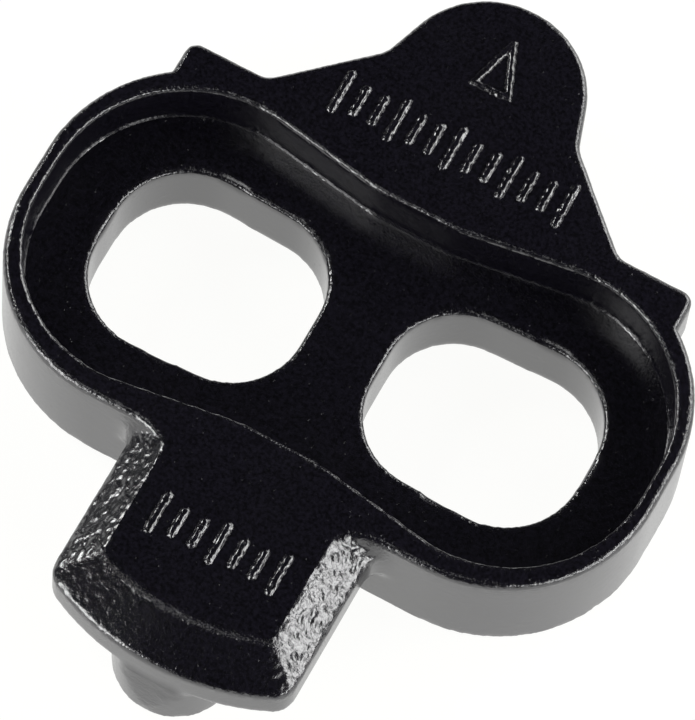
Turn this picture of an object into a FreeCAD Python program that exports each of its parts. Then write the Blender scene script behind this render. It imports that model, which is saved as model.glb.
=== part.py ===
"""Two-bolt clipless pedal cleat: one cast and ground piece of steel, built as a parametric document.

The sole face lies on z = 0, midway between the two bolt slots is the origin, the nose points to +Y
and the slots stand side by side along X. The right half is modelled and mirrored at the end.
Millimetres and degrees throughout.
"""
import FreeCAD, Part
import math
import os

import Sketcher

# Driving sizes: name, value, what it measures
SIZES = [
    ("plate_length", 31.7, "plate across both bolt slots, end to end"),
    ("plate_width", 17.2, "plate from its front wall to its rear wall"),
    ("plate_height", 6.2, "sole face to top face"),
    ("end_flat", 2.2, "straight stretch at each end of the plate"),
    ("recess_depth", 2.6, "washer seat below the top face"),
    ("end_rim", 0.75, "rim left outside the recess at the two ends"),
    ("corner_rim", 0.95, "how much smaller the recess corners are than the plate corners"),
    ("waist_wall", 2.2, "wall beside the waist of the recess, front and rear"),
    ("waist_flat", 4.0, "straight stretch at the waist of the recess"),
    ("waist_radius", 6.0, "round where the waist opens into each lobe"),
    ("lobe_flare", 9.1, "angle at which the recess opens from its waist"),
    ("seat_corner", 0.1, "slanted corner round the floor of the recess"),
    ("slot_web", 3.7, "web between the two bolt slots"),
    ("slot_end_wall", 3.7, "from the outer end of a slot to the end of the plate"),
    ("slot_inner_width", 8.5, "bolt slot along Y at its inner end"),
    ("slot_outer_width", 9.3, "bolt slot along Y at its outer end"),
    ("slot_inner_radius", 3.5, "corners at the inner end of a slot"),
    ("slot_outer_radius", 3.65, "corners at the outer end of a slot"),
    ("catch_height", 3.2, "sole face to the undersides of nose and tail"),
    ("nose_reach", 17.85, "slot line to the tip of the nose"),
    ("nose_tip_radius", 4.5, "round of the nose tip, seen from above"),
    ("shoulder_step", 0.43, "how far each shoulder stands out beyond the round of the tip"),
    ("neck_length", 0.59, "centre of the round of the tip, back to the shoulders"),
    ("shoulder_radius", 1.5, "hollow round at each shoulder"),
    ("flank_radius", 1.0, "hollow round at the foot of each nose flank"),
    ("ear_reach", 8.9, "slot line to the front edge of the ears"),
    ("ear_front", 3.88, "front edge of each ear, from the foot of the flank to the tip"),
    ("ear_span", 25.7, "ear tip to ear tip"),
    ("ear_tip_radius", 0.6, "round of each ear tip"),
    ("tail_width", 12.0, "tail across its side walls"),
    ("tail_reach", 18.0, "slot line to the rear wall of the tail"),
    ("tail_rear_radius", 12.5, "bow of the rear wall"),
    ("tail_corner_radius", 1.1, "corners between side and rear walls"),
    ("ramp_drop", 1.2, "height of the ramps round the tail"),
    ("ramp_side_run", 1.8, "width of a side ramp, seen from above"),
    ("ramp_rear_run", 2.25, "width of the rear ramp, seen from above"),
    ("ramp_top_radius", 11.4, "bow of the upper edge of the rear ramp"),
    ("ramp_corner_radius", 0.3, "corners of the flat on top of the tail"),
    ("tail_root_fillet", 0.9, "hollow between the tail and the rear wall of the plate"),
    ("lug_width", 5.7, "lug under the tail"),
    ("lug_stand", 0.35, "how far the lug stands out beyond the rear wall, at the sole"),
    ("lug_step", 0.04, "how far it stands out there, right under the tail"),
    ("lug_lean", 0.45, "from the rear wall to where its leaning end would meet the sole face"),
    ("edge_round", 0.35, "worn outer edges of the top face"),
    ("ramp_round", 0.4, "edge between the ramps and the walls of the tail"),
    ("rim_chamfer", 0.12, "broken edges of the recess and of the slots"),
    ("sole_chamfer", 0.2, "broken edges of the sole face"),
    ("groove_pitch", 0.65, "step of the grip grooves under each end"),
    ("groove_depth", 0.22, "depth of the grip grooves"),
    ("groove_strip", 1.1, "plain strip between a slot and the grip grooves"),
    ("groove_span", 9.0, "row of grip grooves, along Y"),
]

TOLERANCE = 1e-4


def make_sheet(doc):
    """The spreadsheet of driving sizes: a note, the value and its alias on each row."""
    sheet = doc.addObject("Spreadsheet::Sheet", "Sizes")
    for row, (name, value, note) in enumerate(SIZES, start=1):
        sheet.set(f"A{row}", name)
        sheet.set(f"B{row}", str(value))
        sheet.setAlias(f"B{row}", name)
        sheet.set(f"C{row}", note)
    doc.recompute()
    return sheet


def origin_feature(body, role):
    """One of the body's own origin planes or axes, by its role."""
    return next(item for item in body.Origin.OriginFeatures if item.Role == role)


def sketch_on(body, name, role="XY_Plane", offset=None):
    """An empty sketch on an origin plane, raised by an offset that is bound to the sheet."""
    sketch = body.newObject("Sketcher::SketchObject", name)
    sketch.AttachmentSupport = [(origin_feature(body, role), "")]
    sketch.MapMode = "FlatFace"
    if offset:
        sketch.setExpression("AttachmentOffset.Base.z", offset)
        body.Document.recompute([sketch])
    return sketch


def number(sketch, expression):
    """The present value of an expression."""
    value = sketch.evalExpression(expression)
    return float(getattr(value, "Value", value))


def bind(sketch, constraint, expression):
    """Adds a constraint with a size and ties the size to an expression."""
    index = sketch.addConstraint(constraint)
    sketch.setExpression(f"Constraints[{index}]", expression)


def place(sketch, geometry, position, x, y):
    """Holds one point of the sketch at x, y, each given as an expression."""
    for kind, axis, expression in (("DistanceX", -2, x), ("DistanceY", -1, y)):
        if expression == "0":
            sketch.addConstraint(Sketcher.Constraint("PointOnObject", geometry, position, axis))
        else:
            size = number(sketch, expression)
            bind(sketch, Sketcher.Constraint(kind, -1, 1, geometry, position, size), expression)


def add_line(sketch, start, end):
    return sketch.addGeometry(Part.LineSegment(start, end), False)


def add_arc(sketch, centre, start, end):
    """The shorter arc from start to end. Returns it with its ends, as walked from start to end."""
    radius = (start - centre).Length
    first = math.atan2(start.y - centre.y, start.x - centre.x)
    last = math.atan2(end.y - centre.y, end.x - centre.x)
    clockwise = (last - first) % math.tau > math.pi
    if clockwise:
        first, last = last, first
    circle = Part.Circle(centre, FreeCAD.Vector(0, 0, 1), radius)
    arc = sketch.addGeometry(Part.ArcOfCircle(circle, first, last), False)
    return (arc, 2, 1) if clockwise else (arc, 1, 2)


def rounded_corner(before, corner, after, radius):
    """Centre and tangent points of an arc that rounds a corner between two straight sides."""
    back = (before - corner).normalize()
    forth = (after - corner).normalize()
    half_angle = back.getAngle(forth) / 2
    cut = radius / math.tan(half_angle)
    centre = corner + (back + forth).normalize() * (radius / math.sin(half_angle))
    return centre, corner + back * cut, corner + forth * cut


def crown_touch(centre, radius, beyond):
    """Where a line from a point beyond touches a circle, on the side away from the Y axis."""
    reach = beyond - centre
    spread = math.acos(radius / reach.Length)
    angle = math.atan2(reach.y, reach.x) + spread
    return centre + FreeCAD.Vector(math.cos(angle), math.sin(angle), 0) * radius


def draw_outline(sketch, corners, crown=None):
    """Draws a closed outline through corners and ties every corner and round to the sheet.

    Each corner is x, y and a radius, as expressions. A radius of None leaves it sharp. With a crown,
    the first corner lies on the Y axis, and an arc of that radius leads from it to the first side.
    """
    points = [FreeCAD.Vector(number(sketch, x), number(sketch, y), 0) for x, y, _ in corners]
    count = len(corners)
    leaving = list(points)
    if crown:
        size = number(sketch, crown)
        crown_centre = points[0] - FreeCAD.Vector(0, size, 0)
        leaving[0] = crown_touch(crown_centre, size, points[1])
    rounds = {
        k: rounded_corner(leaving[k - 1], points[k], points[(k + 1) % count], number(sketch, radius))
        for k, (_, _, radius) in enumerate(corners)
        if radius
    }
    starts = [rounds[k][2] if k in rounds else leaving[k] for k in range(count)]
    ends = [rounds[k][1] if k in rounds else points[k] for k in range(count)]
    sides = [add_line(sketch, starts[k], ends[(k + 1) % count]) for k in range(count)]
    for k, (x, y, radius) in enumerate(corners):
        incoming, outgoing = sides[k - 1], sides[k]
        if k in rounds:
            mark = sketch.addGeometry(Part.Point(points[k]), True)
            place(sketch, mark, 1, x, y)
            sketch.addConstraint(Sketcher.Constraint("PointOnObject", mark, 1, incoming))
            sketch.addConstraint(Sketcher.Constraint("PointOnObject", mark, 1, outgoing))
            centre, start, end = rounds[k]
            arc, arc_start, arc_end = add_arc(sketch, centre, start, end)
            sketch.addConstraint(Sketcher.Constraint("Tangent", incoming, 2, arc, arc_start))
            sketch.addConstraint(Sketcher.Constraint("Tangent", arc, arc_end, outgoing, 1))
            bind(sketch, Sketcher.Constraint("Radius", arc, number(sketch, radius)), radius)
        elif crown and k == 0:
            arc, arc_start, arc_end = add_arc(sketch, crown_centre, points[0], starts[0])
            sketch.addConstraint(Sketcher.Constraint("PointOnObject", arc, 3, -2))
            sketch.addConstraint(Sketcher.Constraint("Coincident", incoming, 2, arc, arc_start))
            sketch.addConstraint(Sketcher.Constraint("Tangent", arc, arc_end, outgoing, 1))
            place(sketch, arc, arc_start, x, y)
            bind(sketch, Sketcher.Constraint("Radius", arc, number(sketch, crown)), crown)
        else:
            sketch.addConstraint(Sketcher.Constraint("Coincident", incoming, 2, outgoing, 1))
            place(sketch, outgoing, 1, x, y)


def draw_tail(sketch, half_width, reach, bow, corner):
    """Half of a cross-section of the tail: a straight side, a rounded corner and a bowed rear edge.

    The front edge lies on the slot line, inside the plate, where the tail joins it.
    """
    side, rear = number(sketch, half_width), -number(sketch, reach)
    big, small = number(sketch, bow), number(sketch, corner)
    big_centre = FreeCAD.Vector(0, rear + big, 0)
    drop = math.sqrt((big - small) ** 2 - (side - small) ** 2)
    small_centre = FreeCAD.Vector(side - small, big_centre.y - drop, 0)
    touch = big_centre + (small_centre - big_centre).normalize() * big
    side_end = FreeCAD.Vector(side, small_centre.y, 0)
    middle, front = FreeCAD.Vector(0, rear, 0), FreeCAD.Vector(0, 0, 0)
    front_end = FreeCAD.Vector(side, 0, 0)

    rear_arc, rear_start, rear_end = add_arc(sketch, big_centre, middle, touch)
    corner_arc, corner_start, corner_end = add_arc(sketch, small_centre, touch, side_end)
    side_line = add_line(sketch, side_end, front_end)
    front_line = add_line(sketch, front_end, front)
    middle_line = add_line(sketch, front, middle)

    sketch.addConstraint(Sketcher.Constraint("Tangent", rear_arc, rear_end, corner_arc, corner_start))
    sketch.addConstraint(Sketcher.Constraint("Tangent", corner_arc, corner_end, side_line, 1))
    sketch.addConstraint(Sketcher.Constraint("Coincident", side_line, 2, front_line, 1))
    sketch.addConstraint(Sketcher.Constraint("Coincident", front_line, 2, middle_line, 1))
    sketch.addConstraint(Sketcher.Constraint("Coincident", middle_line, 2, rear_arc, rear_start))
    sketch.addConstraint(Sketcher.Constraint("Vertical", side_line))
    sketch.addConstraint(Sketcher.Constraint("PointOnObject", rear_arc, 3, -2))
    bind(sketch, Sketcher.Constraint("Radius", rear_arc, big), bow)
    bind(sketch, Sketcher.Constraint("Radius", corner_arc, small), corner)
    place(sketch, rear_arc, rear_start, "0", f"-({reach})")
    place(sketch, front_line, 2, "0", "0")
    place(sketch, front_line, 1, half_width, "0")


def draw_lug(sketch, side, end):
    """Half of the lug: a straight side and a round end about the Y axis."""
    radius = number(sketch, side)
    centre = FreeCAD.Vector(0, number(sketch, end) + radius, 0)
    tip = centre - FreeCAD.Vector(0, radius, 0)
    corner = centre + FreeCAD.Vector(radius, 0, 0)
    front, front_end = FreeCAD.Vector(0, 0, 0), FreeCAD.Vector(radius, 0, 0)
    arc, arc_start, arc_end = add_arc(sketch, centre, tip, corner)
    side_line = add_line(sketch, corner, front_end)
    front_line = add_line(sketch, front_end, front)
    middle_line = add_line(sketch, front, tip)
    sketch.addConstraint(Sketcher.Constraint("Tangent", arc, arc_end, side_line, 1))
    sketch.addConstraint(Sketcher.Constraint("Coincident", side_line, 2, front_line, 1))
    sketch.addConstraint(Sketcher.Constraint("Coincident", front_line, 2, middle_line, 1))
    sketch.addConstraint(Sketcher.Constraint("Coincident", middle_line, 2, arc, arc_start))
    sketch.addConstraint(Sketcher.Constraint("Vertical", side_line))
    sketch.addConstraint(Sketcher.Constraint("PointOnObject", arc, 3, -2))
    place(sketch, arc, arc_start, "0", end)
    place(sketch, front_line, 2, "0", "0")
    place(sketch, front_line, 1, side, "0")


def pad(body, name, sketch, length):
    feature = body.newObject("PartDesign::Pad", name)
    feature.Profile = sketch
    feature.setExpression("Length", length)
    body.Document.recompute()
    return feature


def pocket(body, name, sketch, length, upwards=False):
    """A cut of the given length below its sketch, or above it. Stops if it removes nothing."""
    before = body.Shape.Volume
    feature = body.newObject("PartDesign::Pocket", name)
    feature.Profile = sketch
    feature.Reversed = upwards
    feature.setExpression("Length", length)
    body.Document.recompute()
    if feature.Shape.Volume > before - TOLERANCE:
        raise RuntimeError(f"{name} cuts nothing")
    return feature


def dress_edges(body, name, kind, wanted):
    """A fillet or chamfer on every edge of the body for which wanted is true."""
    base = body.Tip
    names = [
        f"Edge{k}"
        for k, edge in enumerate(base.Shape.Edges, start=1)
        if edge.CenterOfMass.x > TOLERANCE and wanted(edge)
    ]
    if not names:
        raise RuntimeError(f"{name} finds no edge")
    feature = body.newObject(f"PartDesign::{kind}", name)
    feature.Base = (base, names)
    return feature


def fillet(body, name, radius, wanted):
    feature = dress_edges(body, name, "Fillet", wanted)
    feature.setExpression("Radius", radius)
    body.Document.recompute()


def chamfer(body, name, size, wanted):
    feature = dress_edges(body, name, "Chamfer", wanted)
    feature.setExpression("Size", size)
    body.Document.recompute()


def level(edge, height):
    """Whether an edge lies flat at a height."""
    return edge.BoundBox.ZLength < TOLERANCE and abs(edge.BoundBox.ZMin - height) < TOLERANCE


def is_new(edge, old_shape):
    """Whether an edge was cut after the old shape was made."""
    return all((edge.CenterOfMass - old.CenterOfMass).Length > TOLERANCE for old in old_shape.Edges)


def build_cleat(doc, sheet):
    """The right half of the cleat, feature by feature, then its mirror image."""
    body = doc.addObject("PartDesign::Body", "cleat_body")
    body.Label = "cleat_body"
    height = sheet.plate_height
    catch = sheet.catch_height

    # Plate: a block with large corners, as tall as the rim
    outline = sketch_on(body, "plate_outline")
    half_length, half_width = "Sizes.plate_length / 2", "Sizes.plate_width / 2"
    plate_round = f"({half_width} - Sizes.end_flat / 2)"
    draw_outline(outline, [
        ("0", f"-{half_width}", None),
        (half_length, f"-{half_width}", plate_round),
        (half_length, half_width, plate_round),
        ("0", half_width, None),
    ])
    pad(body, "plate", outline, "Sizes.plate_height")

    # Nose with the two ears: the upper tier only, so that the pedal's front jaw hooks under it
    outline = sketch_on(body, "nose_outline", offset="Sizes.catch_height")
    shoulder = "(Sizes.nose_tip_radius + Sizes.shoulder_step)"
    shoulder_reach = "(Sizes.nose_reach - Sizes.nose_tip_radius - Sizes.neck_length)"
    ear_tip = "Sizes.ear_span / 2"
    draw_outline(outline, [
        ("0", "Sizes.nose_reach", None),
        (shoulder, shoulder_reach, "Sizes.shoulder_radius"),
        (f"({ear_tip} - Sizes.ear_front)", "Sizes.ear_reach", "Sizes.flank_radius"),
        (ear_tip, "Sizes.ear_reach", "Sizes.ear_tip_radius"),
        (ear_tip, "0", None),
        ("0", "0", None),
    ], crown="Sizes.nose_tip_radius")
    pad(body, "nose", outline, "Sizes.plate_height - Sizes.catch_height")

    # Tail walls, and above them the ramps that open the pedal's rear jaw: a loft to a smaller flat
    outline = sketch_on(body, "tail_outline", offset="Sizes.catch_height")
    draw_tail(outline, "Sizes.tail_width / 2", "Sizes.tail_reach",
              "Sizes.tail_rear_radius", "Sizes.tail_corner_radius")
    pad(body, "tail_walls", outline, "Sizes.plate_height - Sizes.ramp_drop - Sizes.catch_height")
    ramp_foot = sketch_on(body, "ramp_foot", offset="Sizes.plate_height - Sizes.ramp_drop")
    draw_tail(ramp_foot, "Sizes.tail_width / 2", "Sizes.tail_reach",
              "Sizes.tail_rear_radius", "Sizes.tail_corner_radius")
    ramp_top = sketch_on(body, "ramp_top", offset="Sizes.plate_height")
    draw_tail(ramp_top, "Sizes.tail_width / 2 - Sizes.ramp_side_run",
              "Sizes.tail_reach - Sizes.ramp_rear_run",
              "Sizes.ramp_top_radius", "Sizes.ramp_corner_radius")
    ramps = body.newObject("PartDesign::AdditiveLoft", "tail_ramps")
    ramps.Profile = ramp_foot
    ramps.Sections = [ramp_top]
    ramps.Ruled = True
    doc.recompute()

    # Lug under the tail, level with the sole. Its end leans in and is nearly flush under the tail
    outline = sketch_on(body, "lug_outline")
    draw_lug(outline, "Sizes.lug_width / 2", "-(Sizes.tail_reach + Sizes.lug_stand)")
    pad(body, "lug", outline, "Sizes.catch_height")
    outline = sketch_on(body, "lug_end_outline", "YZ_Plane")
    lean_end = "-(Sizes.tail_reach + Sizes.lug_lean)"
    draw_outline(outline, [
        ("-(Sizes.tail_reach + Sizes.lug_step)", "Sizes.catch_height", None),
        (lean_end, "0", None),
        (lean_end, "Sizes.catch_height", None),
    ])
    pocket(body, "lug_end", outline, "Sizes.lug_width / 2", upwards=True)

    # Rounds on the outside, while the top face is still whole
    ramp_foot_height = height - sheet.ramp_drop
    fillet(body, "ramp_edges", "Sizes.ramp_round", lambda edge: level(edge, ramp_foot_height))
    rear_wall = -sheet.plate_width / 2
    tail_side = sheet.tail_width / 2
    fillet(body, "tail_root", "Sizes.tail_root_fillet", lambda edge: (
        edge.BoundBox.YLength < TOLERANCE
        and abs(edge.CenterOfMass.y - rear_wall) < TOLERANCE
        and edge.BoundBox.ZLength > TOLERANCE
        and edge.BoundBox.ZMin > catch - TOLERANCE
        and edge.CenterOfMass.x < tail_side + TOLERANCE
    ))
    fillet(body, "top_edges", "Sizes.edge_round", lambda edge: level(edge, height))
    chamfer(body, "sole_edges", "Sizes.sole_chamfer", lambda edge: level(edge, 0))

    # Washer recess: two lobes and a waist
    outline = sketch_on(body, "recess_outline", offset="Sizes.plate_height")
    waist, recess_end = "(Sizes.plate_width / 2 - Sizes.waist_wall)", f"({half_length} - Sizes.end_rim)"
    lobe = f"({waist} + ({recess_end} - Sizes.waist_flat / 2) * tan(Sizes.lobe_flare * 1deg))"
    lobe_round = f"{plate_round} - Sizes.corner_rim"
    draw_outline(outline, [
        ("0", f"-{waist}", None),
        ("Sizes.waist_flat / 2", f"-{waist}", "Sizes.waist_radius"),
        (recess_end, f"-{lobe}", lobe_round),
        (recess_end, lobe, lobe_round),
        ("Sizes.waist_flat / 2", waist, "Sizes.waist_radius"),
        ("0", waist, None),
    ])
    closed = body.Shape.copy()
    pocket(body, "washer_recess", outline, "Sizes.recess_depth")
    floor = height - sheet.recess_depth
    chamfer(body, "seat_corner", "Sizes.seat_corner", lambda edge: level(edge, floor))
    chamfer(body, "recess_rim", "Sizes.rim_chamfer", lambda edge: (
        level(edge, height) and is_new(edge, closed)
    ))

    # Bolt slots, a little wider at their outer ends
    outline = sketch_on(body, "slot_outline", offset="Sizes.plate_height")
    inner_end = "Sizes.slot_web / 2"
    outer_end = f"({half_length} - Sizes.slot_end_wall)"
    draw_outline(outline, [
        (inner_end, "-Sizes.slot_inner_width / 2", "Sizes.slot_inner_radius"),
        (outer_end, "-Sizes.slot_outer_width / 2", "Sizes.slot_outer_radius"),
        (outer_end, "Sizes.slot_outer_width / 2", "Sizes.slot_outer_radius"),
        (inner_end, "Sizes.slot_inner_width / 2", "Sizes.slot_inner_radius"),
    ])
    closed = body.Shape.copy()
    pocket(body, "bolt_slot", outline, "Sizes.plate_height")
    chamfer(body, "slot_rims", "Sizes.rim_chamfer", lambda edge: (
        (level(edge, floor) or level(edge, 0)) and is_new(edge, closed)
    ))

    # Grip grooves across the sole, from a plain strip beside the slot to the end of the plate
    groove = sketch_on(body, "groove_outline", "YZ_Plane", f"{outer_end} + Sizes.groove_strip")
    steps = "floor(Sizes.groove_span / Sizes.groove_pitch)"
    first = f"(-{steps} * Sizes.groove_pitch / 2)"
    draw_outline(groove, [
        (f"{first} - Sizes.groove_depth", "0", None),
        (f"{first} + Sizes.groove_depth", "0", None),
        (first, "Sizes.groove_depth", None),
    ])
    groove_run = "Sizes.slot_end_wall - Sizes.groove_strip"
    cut = pocket(body, "grip_groove", groove, groove_run, upwards=True)
    row = body.newObject("PartDesign::LinearPattern", "grip_grooves")
    row.Originals = [cut]
    row.Direction = (origin_feature(body, "Y_Axis"), [""])
    row.Mode = "Spacing"
    row.setExpression("Offset", "Sizes.groove_pitch")
    row.setExpression("Occurrences", f"{steps} + 1")
    body.Tip = row
    doc.recompute()

    # Mirror image of the whole half
    mirror = body.newObject("PartDesign::Mirrored", "left_half")
    mirror.TransformMode = "Whole shape"
    mirror.MirrorPlane = (origin_feature(body, "YZ_Plane"), [""])
    body.Tip = mirror
    doc.recompute()
    return body


def check(doc, body):
    """Stops if any object failed or the shape isn't one sound solid."""
    for item in doc.Objects:
        if "Invalid" in item.State or "Error" in item.State:
            raise RuntimeError(f"{item.Name}: {item.State}")
    if body.Shape.isNull() or not body.Shape.isValid() or len(body.Shape.Solids) != 1:
        raise RuntimeError(f"{body.Label} is not one sound solid")


document = FreeCAD.newDocument("pedal_cleat")
sizes = make_sheet(document)
cleat = build_cleat(document, sizes)
check(document, cleat)
os.makedirs("parts", exist_ok=True)
cleat.Shape.exportStep(f"parts/{cleat.Label}.step")
box = cleat.Shape.optimalBoundingBox(False, False)
print(f"{cleat.Label}: {box.XLength:.2f} x {box.YLength:.2f} x {box.ZLength:.2f} mm, "
      f"{cleat.Shape.Volume:.1f} cubic mm, {len(cleat.Shape.Faces)} faces")
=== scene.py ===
# %% [markdown]
# # A pedal cleat in black-finished steel
#
# The object is a small cleat that is bolted under a cycling shoe: one piece of cast steel, about
# 32 mm wide and 36 mm long. It has an oblong plate with a recess and two bolt slots, a nose that
# hooks under the front jaw of the pedal, and a tail with sloping flanks that pushes the rear jaw
# open. Its exact shape comes from the CAD model. This lesson gives it what a CAD model lacks: the
# soft, slightly ragged edges and the grain of a casting, a black finish, and the light of a small
# product studio.
#
# The scene is in metres, as the CAD model is. Sizes that belong to the surface are easier to read
# in millimetres, so they are written as a number times MM.

import math

import bmesh
import bpy
import numpy as np
from mathutils import Matrix, Vector, noise
from mathutils.bvhtree import BVHTree
from mathutils.kdtree import KDTree


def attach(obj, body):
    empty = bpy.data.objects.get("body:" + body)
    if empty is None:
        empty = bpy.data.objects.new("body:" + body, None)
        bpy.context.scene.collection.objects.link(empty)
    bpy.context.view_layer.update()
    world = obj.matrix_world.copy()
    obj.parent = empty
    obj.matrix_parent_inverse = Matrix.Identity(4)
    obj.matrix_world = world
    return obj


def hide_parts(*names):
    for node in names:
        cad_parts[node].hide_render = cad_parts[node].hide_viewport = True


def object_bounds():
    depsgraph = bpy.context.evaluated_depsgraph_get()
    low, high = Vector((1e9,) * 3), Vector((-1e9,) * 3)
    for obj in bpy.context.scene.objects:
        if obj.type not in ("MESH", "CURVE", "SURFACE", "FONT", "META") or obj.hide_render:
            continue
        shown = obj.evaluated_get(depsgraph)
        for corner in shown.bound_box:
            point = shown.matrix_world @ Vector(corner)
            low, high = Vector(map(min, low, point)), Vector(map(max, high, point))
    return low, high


MM = 0.001

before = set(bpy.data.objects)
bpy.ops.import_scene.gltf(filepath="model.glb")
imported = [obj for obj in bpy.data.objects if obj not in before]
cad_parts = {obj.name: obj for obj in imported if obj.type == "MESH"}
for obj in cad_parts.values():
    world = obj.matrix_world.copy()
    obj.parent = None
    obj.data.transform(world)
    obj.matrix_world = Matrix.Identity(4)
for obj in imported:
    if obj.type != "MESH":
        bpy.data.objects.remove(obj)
cad_low, cad_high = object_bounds()
cad_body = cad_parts["cleat_body"]
TOP = cad_high.z
print(f"CAD box in mm: {[round(s / MM, 2) for s in cad_high - cad_low]}")

# %% [markdown]
# ## The camera
#
# The picture was taken from above and a little behind the tail, from about 30 cm away, and the cleat
# is turned in the frame. Such a view could be set by eye with a Track To constraint. Here it was
# worked out from points whose places on the cleat are known, such as the corners of the slots, which
# gives three turns, a distance and a focal length. The focal length came out in picture points, and
# the sensor's width turns it into millimetres. The camera's own axes are the columns of the
# turned-back rotation, so the matrix is built from them directly.

# %% Camera
PICTURE_HEIGHT = 720
FOCAL_POINTS = 6645.0
SENSOR_WIDTH = 36
TURNS = [(-0.40754, "X"), (0.05325, "Y"), (-0.49399, "Z")]
CLEAT_FROM_CAMERA = Vector((-0.278, -0.8615, -300)) * MM

to_camera = Matrix.Identity(3)
for angle, axis in TURNS:
    to_camera = to_camera @ Matrix.Rotation(angle, 3, axis)
from_camera = to_camera.transposed()

camera = bpy.data.objects.new("camera", bpy.data.cameras.new("camera"))
camera.matrix_world = Matrix.Translation(-(from_camera @ CLEAT_FROM_CAMERA)) @ from_camera.to_4x4()
camera.data.sensor_width = SENSOR_WIDTH
camera.data.lens = FOCAL_POINTS / PICTURE_HEIGHT * SENSOR_WIDTH
camera.data.clip_start = 10 * MM
bpy.context.scene.collection.objects.link(camera)
bpy.context.scene.camera = camera
bpy.context.scene.view_settings.view_transform = "Standard"
print(f"camera at {[round(c / MM) for c in camera.location]} mm, lens {camera.data.lens:.0f} mm")

# %% [markdown]
# ## Shader sums in plain Python
#
# A shader tree is a sum written as boxes and lines. A small class makes it readable: it wraps one
# output socket, and +, - and * add the Math box that does the same. Colours are mixed by `blend`,
# because a Math box would turn them grey. Any other box comes from `node`, which takes its kind,
# its settings and what goes into it.

# %% A socket that can be used in sums
class Wire:
    """An output socket. Sums on wires add nodes to the tree that is being written."""

    tree = None

    def __init__(self, socket):
        self.socket = socket

    @classmethod
    def node(cls, kind, settings=None, inputs=None, output=0):
        """A new node: its kind, its settings and the values or wires of its sockets."""
        made = cls.tree.nodes.new(kind)
        for name, value in (settings or {}).items():
            setattr(made, name, value)
        for name, value in (inputs or {}).items():
            if isinstance(value, Wire):
                cls.tree.links.new(value.socket, made.inputs[name])
            else:
                made.inputs[name].default_value = value
        return cls(made.outputs[output]) if made.outputs else None

    def other(self, name):
        """Another output of the same node."""
        return Wire(self.socket.node.outputs[name])

    @classmethod
    def math(cls, operation, first, second):
        """A Math node on two numbers or wires."""
        return cls.node("ShaderNodeMath", {"operation": operation}, {0: first, 1: second})

    def __add__(self, other):
        return self.math("ADD", self, other)

    def __radd__(self, other):
        return self.math("ADD", other, self)

    def __sub__(self, other):
        return self.math("SUBTRACT", self, other)

    def __rsub__(self, other):
        return self.math("SUBTRACT", other, self)

    def __mul__(self, other):
        return self.math("MULTIPLY", self, other)

    __rmul__ = __mul__

    def clamped(self):
        return self.node("ShaderNodeClamp", inputs={"Value": self})

    def blend(self, low, high):
        """One colour where this wire is 0 and another where it is 1."""
        return self.node("ShaderNodeMix", {"data_type": "RGBA"},
                         {"Factor": self, 6: (*low, 1), 7: (*high, 1)}, output=2)


# %% [markdown]
# ## The studio
#
# Glossy black steel is mostly a mirror, so the picture depends more on what stands round it than on
# its own colour. The object lies on a white table. Seen from the camera, the walls mirror the table
# and look grey, the top mirrors the dark ceiling and looks black, and the slopes of the tail mirror
# the soft boxes at the sides and glitter. That is why this world is a dim room: dark above, with
# walls that are lighter on the camera's side. The camera itself sees white everywhere, as in a
# picture with a cleared background.

# %% World
CEILING = 0.012
WALL = 0.17
WALL_TOWARDS_CAMERA = 0.20
WALL_TOP = 0.45

world = bpy.data.worlds.new("studio")
bpy.context.scene.world = world
world.use_nodes = True
Wire.tree = world.node_tree
Wire.tree.nodes.clear()

toward = Wire.node("ShaderNodeSeparateXYZ", inputs={0: Wire.node("ShaderNodeTexCoord")})
low_down = Wire.node("ShaderNodeMapRange", {"interpolation_type": "SMOOTHSTEP"}, {
    "Value": toward.other("Z"), "From Min": 0.0, "From Max": WALL_TOP, "To Min": 1.0, "To Max": 0.0})
room = CEILING + low_down * (WALL - WALL_TOWARDS_CAMERA * toward.other("Y"))
seen = Wire.node("ShaderNodeLightPath", output="Is Camera Ray")
Wire.node("ShaderNodeOutputWorld", inputs={
    "Surface": Wire.node("ShaderNodeBackground", inputs={"Strength": seen + (1 - seen) * room})})
print("nodes in the world:", len(world.node_tree.nodes))

# %% [markdown]
# The table is one large disc, a hair below the cleat. It is white to the camera and to reflections,
# with a share of real white paint in it that keeps a faint shadow. Its underside is clear, so that
# the cleat can also be looked at from below.

# %% Table
TABLE_RADIUS = 1.2
TABLE_GAP = 0.02 * MM
PAINT = (0.9, 0.9, 0.9, 1)
GLOW = (1.0, 1.0, 0.985, 1)
GLOW_STRENGTH = 1.06
GLOW_SHARE = 0.9

bpy.ops.mesh.primitive_circle_add(
    vertices=96, radius=TABLE_RADIUS, fill_type="NGON", location=(0, 0, -TABLE_GAP))
table = bpy.context.object
table.name = "table"

paint = bpy.data.materials.new("white_table")
paint.use_nodes = True
Wire.tree = paint.node_tree
Wire.tree.nodes.clear()
path = Wire.node("ShaderNodeLightPath")
bare = path.other("Is Camera Ray")
for kind in ("Is Glossy Ray", "Is Transmission Ray"):
    bare = Wire.math("MAXIMUM", bare, path.other(kind))
white = Wire.node("ShaderNodeMixShader", inputs={
    0: bare * GLOW_SHARE,
    1: Wire.node("ShaderNodeBsdfDiffuse", inputs={"Color": PAINT}),
    2: Wire.node("ShaderNodeEmission", inputs={"Color": GLOW, "Strength": GLOW_STRENGTH})})
from_below = Wire.node("ShaderNodeNewGeometry", output="Backfacing")
Wire.node("ShaderNodeOutputMaterial", inputs={
    "Surface": Wire.node("ShaderNodeMixShader", inputs={
        0: from_below, 1: white, 2: Wire.node("ShaderNodeBsdfTransparent")})})
table.data.materials.append(paint)
print(f"table: {2 * TABLE_RADIUS:.1f} m across")

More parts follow.
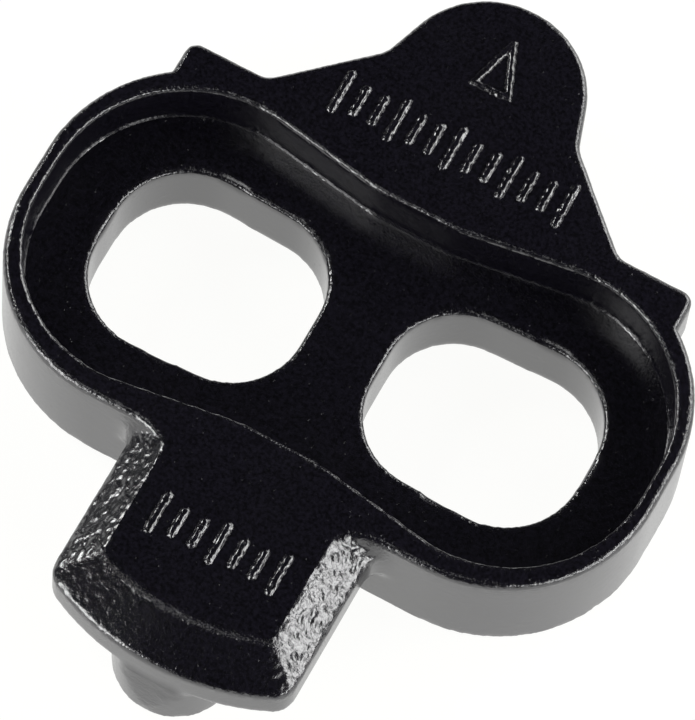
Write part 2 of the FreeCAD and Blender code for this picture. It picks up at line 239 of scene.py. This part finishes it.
# %% [markdown]
# Seven soft boxes stand round the table, out of the mirror image in the top face. The slopes of the
# tail mirror the dark beside a box, and only their lumps mirror the box itself, which makes them
# glitter. A box is described by where it stands and how bright its cloth is. The power that Blender
# wants follows from both: brightness times area times pi. Together they light a white card on the
# table to about white, so a colour looks as it is written.

# %% Soft boxes
AWAY = 0.45
BOXES = [
    ("right_box", (0.79, 0.36, 0.49), 8.0, 0.15),
    ("side_box", (0.95, -0.03, 0.32), 8.0, 0.15),
    ("left_box", (-0.80, 0.14, 0.58), 20.0, 0.10),
    ("rear_box", (-0.50, -0.80, 0.32), 8.0, 0.20),
    ("corner_box", (0.76, -0.48, 0.40), 10.0, 0.12),
    ("front_box", (0.35, 0.85, 0.40), 4.0, 0.30),
    ("high_box", (-0.25, -0.17, 0.95), 2.2, 0.12),
]


def soft_box(name, direction, brightness, size):
    """A square of glowing cloth that faces the cleat. Brightness 1 is as bright as white paper."""
    light = bpy.data.lights.new(name, "AREA")
    light.shape = "SQUARE"
    light.size = size
    light.energy = brightness * size ** 2 * math.pi
    lamp = bpy.data.objects.new(name, light)
    towards = Vector(direction).normalized()
    lamp.location = towards * AWAY
    lamp.rotation_euler = towards.to_track_quat("Z", "Y").to_euler()
    lamp.visible_camera = False
    bpy.context.scene.collection.objects.link(lamp)
    share = brightness * (size / AWAY) ** 2 * towards.z / math.pi
    print(f"{name}: {light.energy:.2f} W, lights a white card on the table to {share:.2f}")
    return share


print(f"all boxes together: {sum(soft_box(*box) for box in BOXES):.2f}")

# %% [markdown]
# ## The black finish
#
# The steel is blackened and lightly oiled. The dark layer mirrors more than plastic does, which is
# why the walls look grey where they mirror the table at a flat angle. A Principled shader with a
# high index of refraction behaves like that. The fine grit of the finish could be modelled, but it
# is only a few hundredths of a millimetre across, so it is left to bump. Two attributes of the mesh
# say where it is coarser: `rough_cast` where the casting was left rough, and `gritty` there and
# along the edges.

# %% Black steel
CLOUD_SIZE = 4.0
GRIT_SIZE = 0.11
DUST_SIZE = 0.16
LUMP_SIZE = 0.30
SPECK_SPACING = 0.38
SPECK_SHARE = 0.65
BUMP_HEIGHT = 0.03 * MM
REFRACTION = 2.0
BLACK = (0.0010, 0.0007, 0.0020)
DUSTY_BLACK = (0.0075, 0.0066, 0.0120)

steel = bpy.data.materials.new("black_steel")
steel.use_nodes = True
Wire.tree = steel.node_tree
Wire.tree.nodes.clear()

place = Wire.node("ShaderNodeTexCoord", output="Object")
rough_cast = Wire.node("ShaderNodeAttribute", {"attribute_name": "rough_cast"}, output="Fac")
gritty = Wire.node("ShaderNodeAttribute", {"attribute_name": "gritty"}, output="Fac")


def grain(size, detail=2.0):
    """Noise with spots of about the given size in millimetres."""
    return Wire.node("ShaderNodeTexNoise", inputs={
        "Vector": place, "Scale": 1 / (size * MM), "Detail": detail, "Roughness": 0.6})


cells = Wire.node("ShaderNodeTexVoronoi", inputs={"Vector": place, "Scale": 1 / (SPECK_SPACING * MM)})
lot = Wire.node("ShaderNodeSeparateColor", inputs={0: cells.other("Color")})
specks = (1 - 6 * cells.other("Distance")).clamped() * Wire.math("GREATER_THAN", lot, 1 - SPECK_SHARE)
dust = (3 * grain(DUST_SIZE) - 1).clamped()

roughness = 0.155 + 0.06 * grain(CLOUD_SIZE) + 0.03 * rough_cast
relief = (grain(GRIT_SIZE) * (0.20 + 0.9 * gritty) + 0.45 * specks
          + grain(LUMP_SIZE, detail=0.0) * (0.10 + 1.7 * rough_cast))
bump = Wire.node("ShaderNodeBump", inputs={
    "Strength": 1.0, "Distance": BUMP_HEIGHT, "Height": relief})
Wire.node("ShaderNodeOutputMaterial", inputs={
    "Surface": Wire.node("ShaderNodeBsdfPrincipled", inputs={
        "Base Color": dust.blend(BLACK, DUSTY_BLACK), "Roughness": roughness,
        "IOR": REFRACTION, "Normal": bump})})
print("nodes in the finish:", len(steel.node_tree.nodes))

# %% [markdown]
# ## The casting
#
# A casting has no sharp edges, and its edges wander a little. A Bevel modifier would make them too
# even. Instead the CAD surface is rebuilt as a skin of small squares. Each point of the skin is put
# back on the CAD surface, so the flats and the walls are exact. Then the points relax towards their
# neighbours, which rounds only the edges, and noise moves them along their normals: most on the
# slopes of the tail, which were left as cast, less on the edges, and hardly on the rest.

# %% A skin of small squares
SKIN_SHARE = 0.78


def skin_of(source, share):
    """The surface of an object as squares: 256 of them, times share, along its longest side."""
    copy = bpy.data.objects.new("copy", source.data.copy())
    bpy.context.scene.collection.objects.link(copy)
    remesh = copy.modifiers.new("squares", "REMESH")
    remesh.mode = "SHARP"
    remesh.octree_depth = 8
    remesh.scale = share
    squares = bpy.data.meshes.new_from_object(copy.evaluated_get(bpy.context.evaluated_depsgraph_get()))
    bpy.data.objects.remove(copy)
    return squares


skin = skin_of(cad_body, SKIN_SHARE)
print(f"skin: {len(skin.polygons)} squares")

# %% [markdown]
# The slopes of the tail and all rounded or broken edges that are seen from above carry the finest
# detail. Their faces are the ones that look neither straight up nor sideways, so they are easy to
# find. The squares there are split in four, from just below the floor of the recess upwards.

# %% Finer squares on slopes and edges
UPRIGHT = 0.05
LEVEL = 0.98

surface = BVHTree.FromPolygons([v.co for v in cad_body.data.vertices],
                               [p.vertices for p in cad_body.data.polygons])
floor_height = surface.ray_cast(Vector((0, 0, 2 * TOP)), Vector((0, 0, -1)))[0].z
detail_height = floor_height - 0.15 * MM

fine = bmesh.new()
fine.from_mesh(skin)
tilted = [f for f in fine.faces
          if UPRIGHT < f.normal.z < LEVEL and f.calc_center_median().z > detail_height]
bmesh.ops.subdivide_edges(
    fine, edges=list({e for f in tilted for e in f.edges}), cuts=1, use_grid_fill=True)
bmesh.ops.triangulate(fine, faces=[f for f in fine.faces if len(f.verts) > 4])
fine.to_mesh(skin)
fine.free()
print(f"floor of the recess at {floor_height / MM:.2f} mm, skin now {len(skin.polygons)} faces")

# %% [markdown]
# The squares are laid without regard to the edges of the CAD model, so an edge would run through
# them in steps. Two search trees hold points along the edges: the crests, and the line round the
# floor of the recess. A point of the skin that comes to lie close to such a line is moved onto it.

# %% Edges of the CAD model
SHARP = math.radians(28)
EDGE_STEP = 0.02 * MM
SAME_POINT = 0.001 * MM
SAME_HEIGHT = 0.01 * MM
SOLE_ZONE = 0.05 * MM


def along_edges(source, wanted, step):
    """A search tree of points along the wanted edges of an object."""
    faces = bmesh.new()
    faces.from_mesh(source.data)
    bmesh.ops.remove_doubles(faces, verts=faces.verts, dist=SAME_POINT)
    found = []
    for side in faces.edges:
        if len(side.link_faces) == 2 and wanted(side):
            a, b = (v.co for v in side.verts)
            count = math.ceil((b - a).length / step)
            found.extend(a.lerp(b, k / count) for k in range(count + 1))
    faces.free()
    search = KDTree(len(found))
    for k, point in enumerate(found):
        search.insert(point, k)
    search.balance()
    print(f"{len(found)} points along edges")
    return search


def is_crest(side):
    """Whether an edge is sharp, stands out and doesn't lie in the sole face."""
    return side.calc_face_angle_signed() > SHARP and max(v.co.z for v in side.verts) > SOLE_ZONE


def round_the_floor(side):
    """Whether an edge is the hollow one round the floor of the recess."""
    return (side.calc_face_angle_signed() < -SHARP
            and all(abs(v.co.z - floor_height) < SAME_HEIGHT for v in side.verts))


crests = along_edges(cad_body, is_crest, EDGE_STEP)
corners = along_edges(cad_body, round_the_floor, EDGE_STEP)

# %% [markdown]
# Every point now goes to the nearest place on the CAD surface. The normals there tell what a point
# belongs to, so they are kept for the next steps.

# %% Back to the CAD surface
CREST_REACH = 0.045 * MM
LOW_CREST_REACH = 0.08 * MM
CORNER_REACH = 0.12 * MM


def points_of(mesh):
    """The points of a mesh, one in each row."""
    points = np.empty(len(mesh.vertices) * 3)
    mesh.vertices.foreach_get("co", points)
    return points.reshape(-1, 3)


def back_on_surface(p):
    """The nearest point of the CAD surface, or of an edge close by, and the normal there."""
    target, normal, *_ = surface.find_nearest(p)
    corner, _, corner_gap = corners.find(target)
    if corner_gap < CORNER_REACH:
        return corner, normal
    crest, _, crest_gap = crests.find(target)
    reach = CREST_REACH if target.z > detail_height else LOW_CREST_REACH
    return (crest if crest_gap < reach else target), normal


placed = [back_on_surface(p) for p in points_of(skin)]
points = np.array([target for target, _ in placed])
sideways, forwards, upwards = np.array([normal for _, normal in placed]).T
print(f"{len(points)} points put back")

# %% [markdown]
# Relaxing moves each point towards the mean of its neighbours. A flat stays flat, and an edge gets
# rounder with each pass. The upper edge of the rear slope, the step under the tail and the near rim
# of the recess are softer than the rest. The line round the floor of the recess and the lower edge
# of the rear slope stay crisp. What belongs where is told by places on the tail and on the rim, in
# millimetres, and by how far a normal points up.

# %% Soft edges
RELAX_PASSES = 5
SOFT_PASSES = 14
CORNER_KEPT = 0.3 * MM
SLOPE_FOOT = 4.6
TAIL_ROOT = -7.9
TAIL_HALF = 6.6
FLAT_HALF = 3.9
FLAT_END = -14.6
RIDGE_MIDDLE = -15.7
RIDGE_BOW = 0.044
RIDGE_HALF = 4.6
UNDERSIDE = 3.2
REAR_WALL = -17.0
RIM_STRIP = 0.4


def relaxed(values, pairs, times, share=0.5):
    """Each value moves towards the mean of its neighbours."""
    count = np.bincount(pairs.ravel(), minlength=len(values)).astype(float)
    count = count.reshape(-1, *[1] * (values.ndim - 1))
    for _ in range(times):
        total = np.zeros_like(values)
        np.add.at(total, pairs[:, 0], values[pairs[:, 1]])
        np.add.at(total, pairs[:, 1], values[pairs[:, 0]])
        values = values + share * (total / count - values)
    return values


def between(values, least, most):
    """Which of the values lie between two others."""
    return (values > least) & (values < most)


def spread(chosen, pairs, times):
    """Weights from 0 to 1 round the chosen points, soft at the border."""
    return np.clip(1.5 * relaxed(chosen.astype(float), pairs, times), 0, 1)


pairs = np.empty(len(skin.edges) * 2, dtype=np.int64)
skin.edges.foreach_get("vertices", pairs)
pairs = pairs.reshape(-1, 2)

x, y, z = points.T / MM
from_ridge = abs(y - RIDGE_MIDDLE - RIDGE_BOW * x ** 2)
outside_flat = (abs(x) > FLAT_HALF) | (y < FLAT_END)
on_tail_slopes = ((z > SLOPE_FOOT) & (y < TAIL_ROOT) & (abs(x) < TAIL_HALF) & outside_flat
                  & between(upwards, 0.3, 0.96))
on_edges = between(abs(upwards), 0.08, 0.97) & ~on_tail_slopes
along_ridge = (abs(x) < RIDGE_HALF) & (z > TOP / MM - 0.5)
ridge = along_ridge & (from_ridge < 0.2)
round_ridge = along_ridge & (from_ridge < 0.5)
under_tail = (abs(x) < 1.6) & (y < REAR_WALL - 0.7) & (abs(z - UNDERSIDE) < 0.6)
below_rear_slope = (abs(x) < TAIL_HALF - 1) & (y < REAR_WALL) & (z > UNDERSIDE + 0.2)
near_rim = (forwards > 0.4) & (y < 0) & (z > TOP / MM - RIM_STRIP)

softness = np.clip([corners.find(p)[2] / CORNER_KEPT for p in points], 0, 1)
softness *= 1 - 0.75 * spread(below_rear_slope, pairs, 2)
points += softness[:, None] * (relaxed(points, pairs, RELAX_PASSES) - points)
softer = spread(under_tail | round_ridge | near_rim, pairs, 2)
points += softer[:, None] * (relaxed(points, pairs, SOFT_PASSES) - points)
print(f"points on edges: {np.mean(on_edges):.0%}, on the slopes of the tail: {np.mean(on_tail_slopes):.0%}")

# %% [markdown]
# The lumps of the casting are layers of smooth noise, each with a height and a size. The side
# slopes of the tail have lumps of a third of a millimetre, the edges have finer beads, and the
# whole surface waves by a few thousandths of a millimetre. Two attributes tell the finish where.

# %% Cast grain
SLOPE_LUMPS = [(0.024, 0.34), (0.012, 0.60)]
EDGE_BEADS = [(0.012, 0.22), (0.012, 0.50)]
WAVES = [(0.004, 2.5)]
CREASE = math.radians(40)


def bumps(layers):
    """Layers of smooth noise at every point, each with its height and size in millimetres."""
    return sum(height * np.array([noise.noise(Vector(p) / (size * MM)) for p in points])
               for height, size in layers)


edge = spread(on_edges | ridge, pairs, 1) * softness
slopes = spread(on_tail_slopes, pairs, 1)
side_slopes = slopes * np.clip(0.12 + 1.8 * abs(sideways), 0, 1)
lift = side_slopes * bumps(SLOPE_LUMPS) + edge * bumps(EDGE_BEADS) + bumps(WAVES)

skin.vertices.foreach_set("co", points.ravel())
skin.update()
outwards = np.empty(len(points) * 3)
skin.vertices.foreach_get("normal", outwards)
points = points + outwards.reshape(-1, 3) * (lift * MM)[:, None]
points = np.clip(points, np.array(cad_low), np.array(cad_high))
skin.vertices.foreach_set("co", points.ravel())
for name, values in (("rough_cast", side_slopes + 0.1 * edge), ("gritty", 0.3 * slopes + 0.8 * edge)):
    attribute = skin.attributes.new(name, "FLOAT", "POINT")
    attribute.data.foreach_set("value", np.clip(values, 0, 1).astype(np.float32))
skin.polygons.foreach_set("use_smooth", [True] * len(skin.polygons))
skin.set_sharp_from_angle(angle=CREASE)
skin.update()
print(f"the noise moves points by up to {abs(lift).max():.3f} mm")

# %% [markdown]
# The skin becomes a piece of its own, which takes the place of the CAD body in the picture.

# %% The dressed body
casting = bpy.data.objects.new("casting", skin)
bpy.context.scene.collection.objects.link(casting)
skin.materials.clear()
skin.materials.append(steel)
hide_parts("cleat_body")
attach(casting, "root")
print(f"casting: {sum(len(p.vertices) - 2 for p in skin.polygons)} triangles")

# %% [markdown]
# ## Raised marks
#
# A triangle on the nose shows which way the cleat points, and rows of short ticks stand on the nose
# and on the tail. On a casting such marks are low ribs with soft shoulders. A Text or Curve object
# with a bevel would be too crisp, so each mark is a small height field: every point of a fine grid
# knows how far it is from the nearest stroke, and that distance gives its height.

# %% Strokes to heights
RISE = 0.13
UNEVEN = 0.03
UNEVEN_SIZE = 0.3
WOBBLE = 0.05
WOBBLE_SIZE = 0.22
SHOULDER = 0.45
STEP = 0.05


def distance(p, a, b):
    """From point p to the segment from a to b, all in millimetres."""
    along = b - a
    t = max(0.0, min(1.0, (p - a).dot(along) / along.length_squared))
    return (p - a - along * t).length


def heights_of(strokes, width):
    """A fine grid over the strokes: the place and the height of each point that is on a rib."""
    strokes = [(Vector(a), Vector(b)) for a, b in strokes]
    ends = [p for stroke in strokes for p in stroke]
    margin = width / 2 + 2 * STEP
    low = Vector((min(p.x for p in ends) - margin, min(p.y for p in ends) - margin))
    high = Vector((max(p.x for p in ends) + margin, max(p.y for p in ends) + margin))
    across, along = (int((high[k] - low[k]) / STEP) + 1 for k in (0, 1))
    heights = {}
    for i in range(across):
        for j in range(along):
            p = Vector((low.x + i * STEP, low.y + j * STEP))
            gap = min(distance(p, a, b) for a, b in strokes)
            gap += WOBBLE * noise.noise(Vector((p.x, p.y, 0)) / WOBBLE_SIZE)
            inside = width / 2 + STEP - gap
            if inside > 0:
                share = min(1.0, inside / (SHOULDER * width))
                share = share * share * (3 - 2 * share)
                full = RISE + UNEVEN * noise.noise(Vector((p.x, p.y, 5)) / UNEVEN_SIZE)
                heights[i, j] = (p, share * full)
    return heights


# %% [markdown]
# The grid is closed to a solid: the heights on top, the same grid sunk into the steel below, and a
# wall round the rim. The foot of each rib starts just under the top face, so no gap shows.

# %% Heights to ribs
SUNK = 0.12
FOOT = 0.01
MARK_ROUGHNESS = 0.35


def ribs(name, strokes, width):
    """A closed piece with one soft rib along every stroke."""
    heights = heights_of(strokes, width)
    mesh = bmesh.new()
    upper, lower = {}, {}
    for key, (p, rise) in heights.items():
        upper[key] = mesh.verts.new((p.x * MM, p.y * MM, TOP + (rise - FOOT) * MM))
        lower[key] = mesh.verts.new((p.x * MM, p.y * MM, TOP - SUNK * MM))
    for i, j in heights:
        square = [(i, j), (i + 1, j), (i + 1, j + 1), (i, j + 1)]
        if all(key in heights for key in square):
            mesh.faces.new([upper[key] for key in square])
            mesh.faces.new([lower[key] for key in reversed(square)])
    rim = {vert: lower[key] for key, vert in upper.items()}
    for side in [e for e in mesh.edges if e.is_boundary and e.verts[0] in rim]:
        a, b = side.link_loops[0].vert, side.link_loops[0].link_loop_next.vert
        mesh.faces.new([b, a, rim[a], rim[b]])
    bmesh.ops.delete(mesh, geom=[v for v in mesh.verts if not v.link_faces], context="VERTS")
    made = bpy.data.meshes.new(name)
    mesh.to_mesh(made)
    mesh.free()
    made.polygons.foreach_set("use_smooth", [True] * len(made.polygons))
    for attribute in ("rough_cast", "gritty"):
        values = made.attributes.new(attribute, "FLOAT", "POINT").data
        values.foreach_set("value", [MARK_ROUGHNESS] * len(made.vertices))
    made.materials.append(steel)
    piece = bpy.data.objects.new(name, made)
    bpy.context.scene.collection.objects.link(piece)
    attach(piece, "root")
    print(f"{name}: {len(made.polygons)} faces")


# %% [markdown]
# The triangle is a little lopsided, as on the casting. The ticks are plain strokes side by side, the
# middle one and every third one from it longer. Both rows use the same function.

# %% Direction mark and ticks
MARK_WIDTH = 0.34
TICK_WIDTH = 0.42
TIP = (-0.05, 15.86)
LEFT = (-0.77, 13.25)
RIGHT = (0.98, 13.33)


def ticks(middle_y, half_count, pitch, short, long):
    """Upright strokes side by side, all sizes in millimetres."""
    row = []
    for k in range(-half_count, half_count + 1):
        half = (long if k % 3 == 0 else short) / 2
        row.append(((k * pitch, middle_y - half), (k * pitch, middle_y + half)))
    return row


ribs("direction_mark", [(TIP, LEFT), (LEFT, RIGHT), (RIGHT, TIP)], MARK_WIDTH)
ribs("nose_ticks", ticks(middle_y=9.9, half_count=6, pitch=0.95, short=1.3, long=2.0), TICK_WIDTH)
ribs("tail_ticks", ticks(middle_y=-12.0, half_count=3, pitch=1.0, short=1.2, long=1.8), TICK_WIDTH)
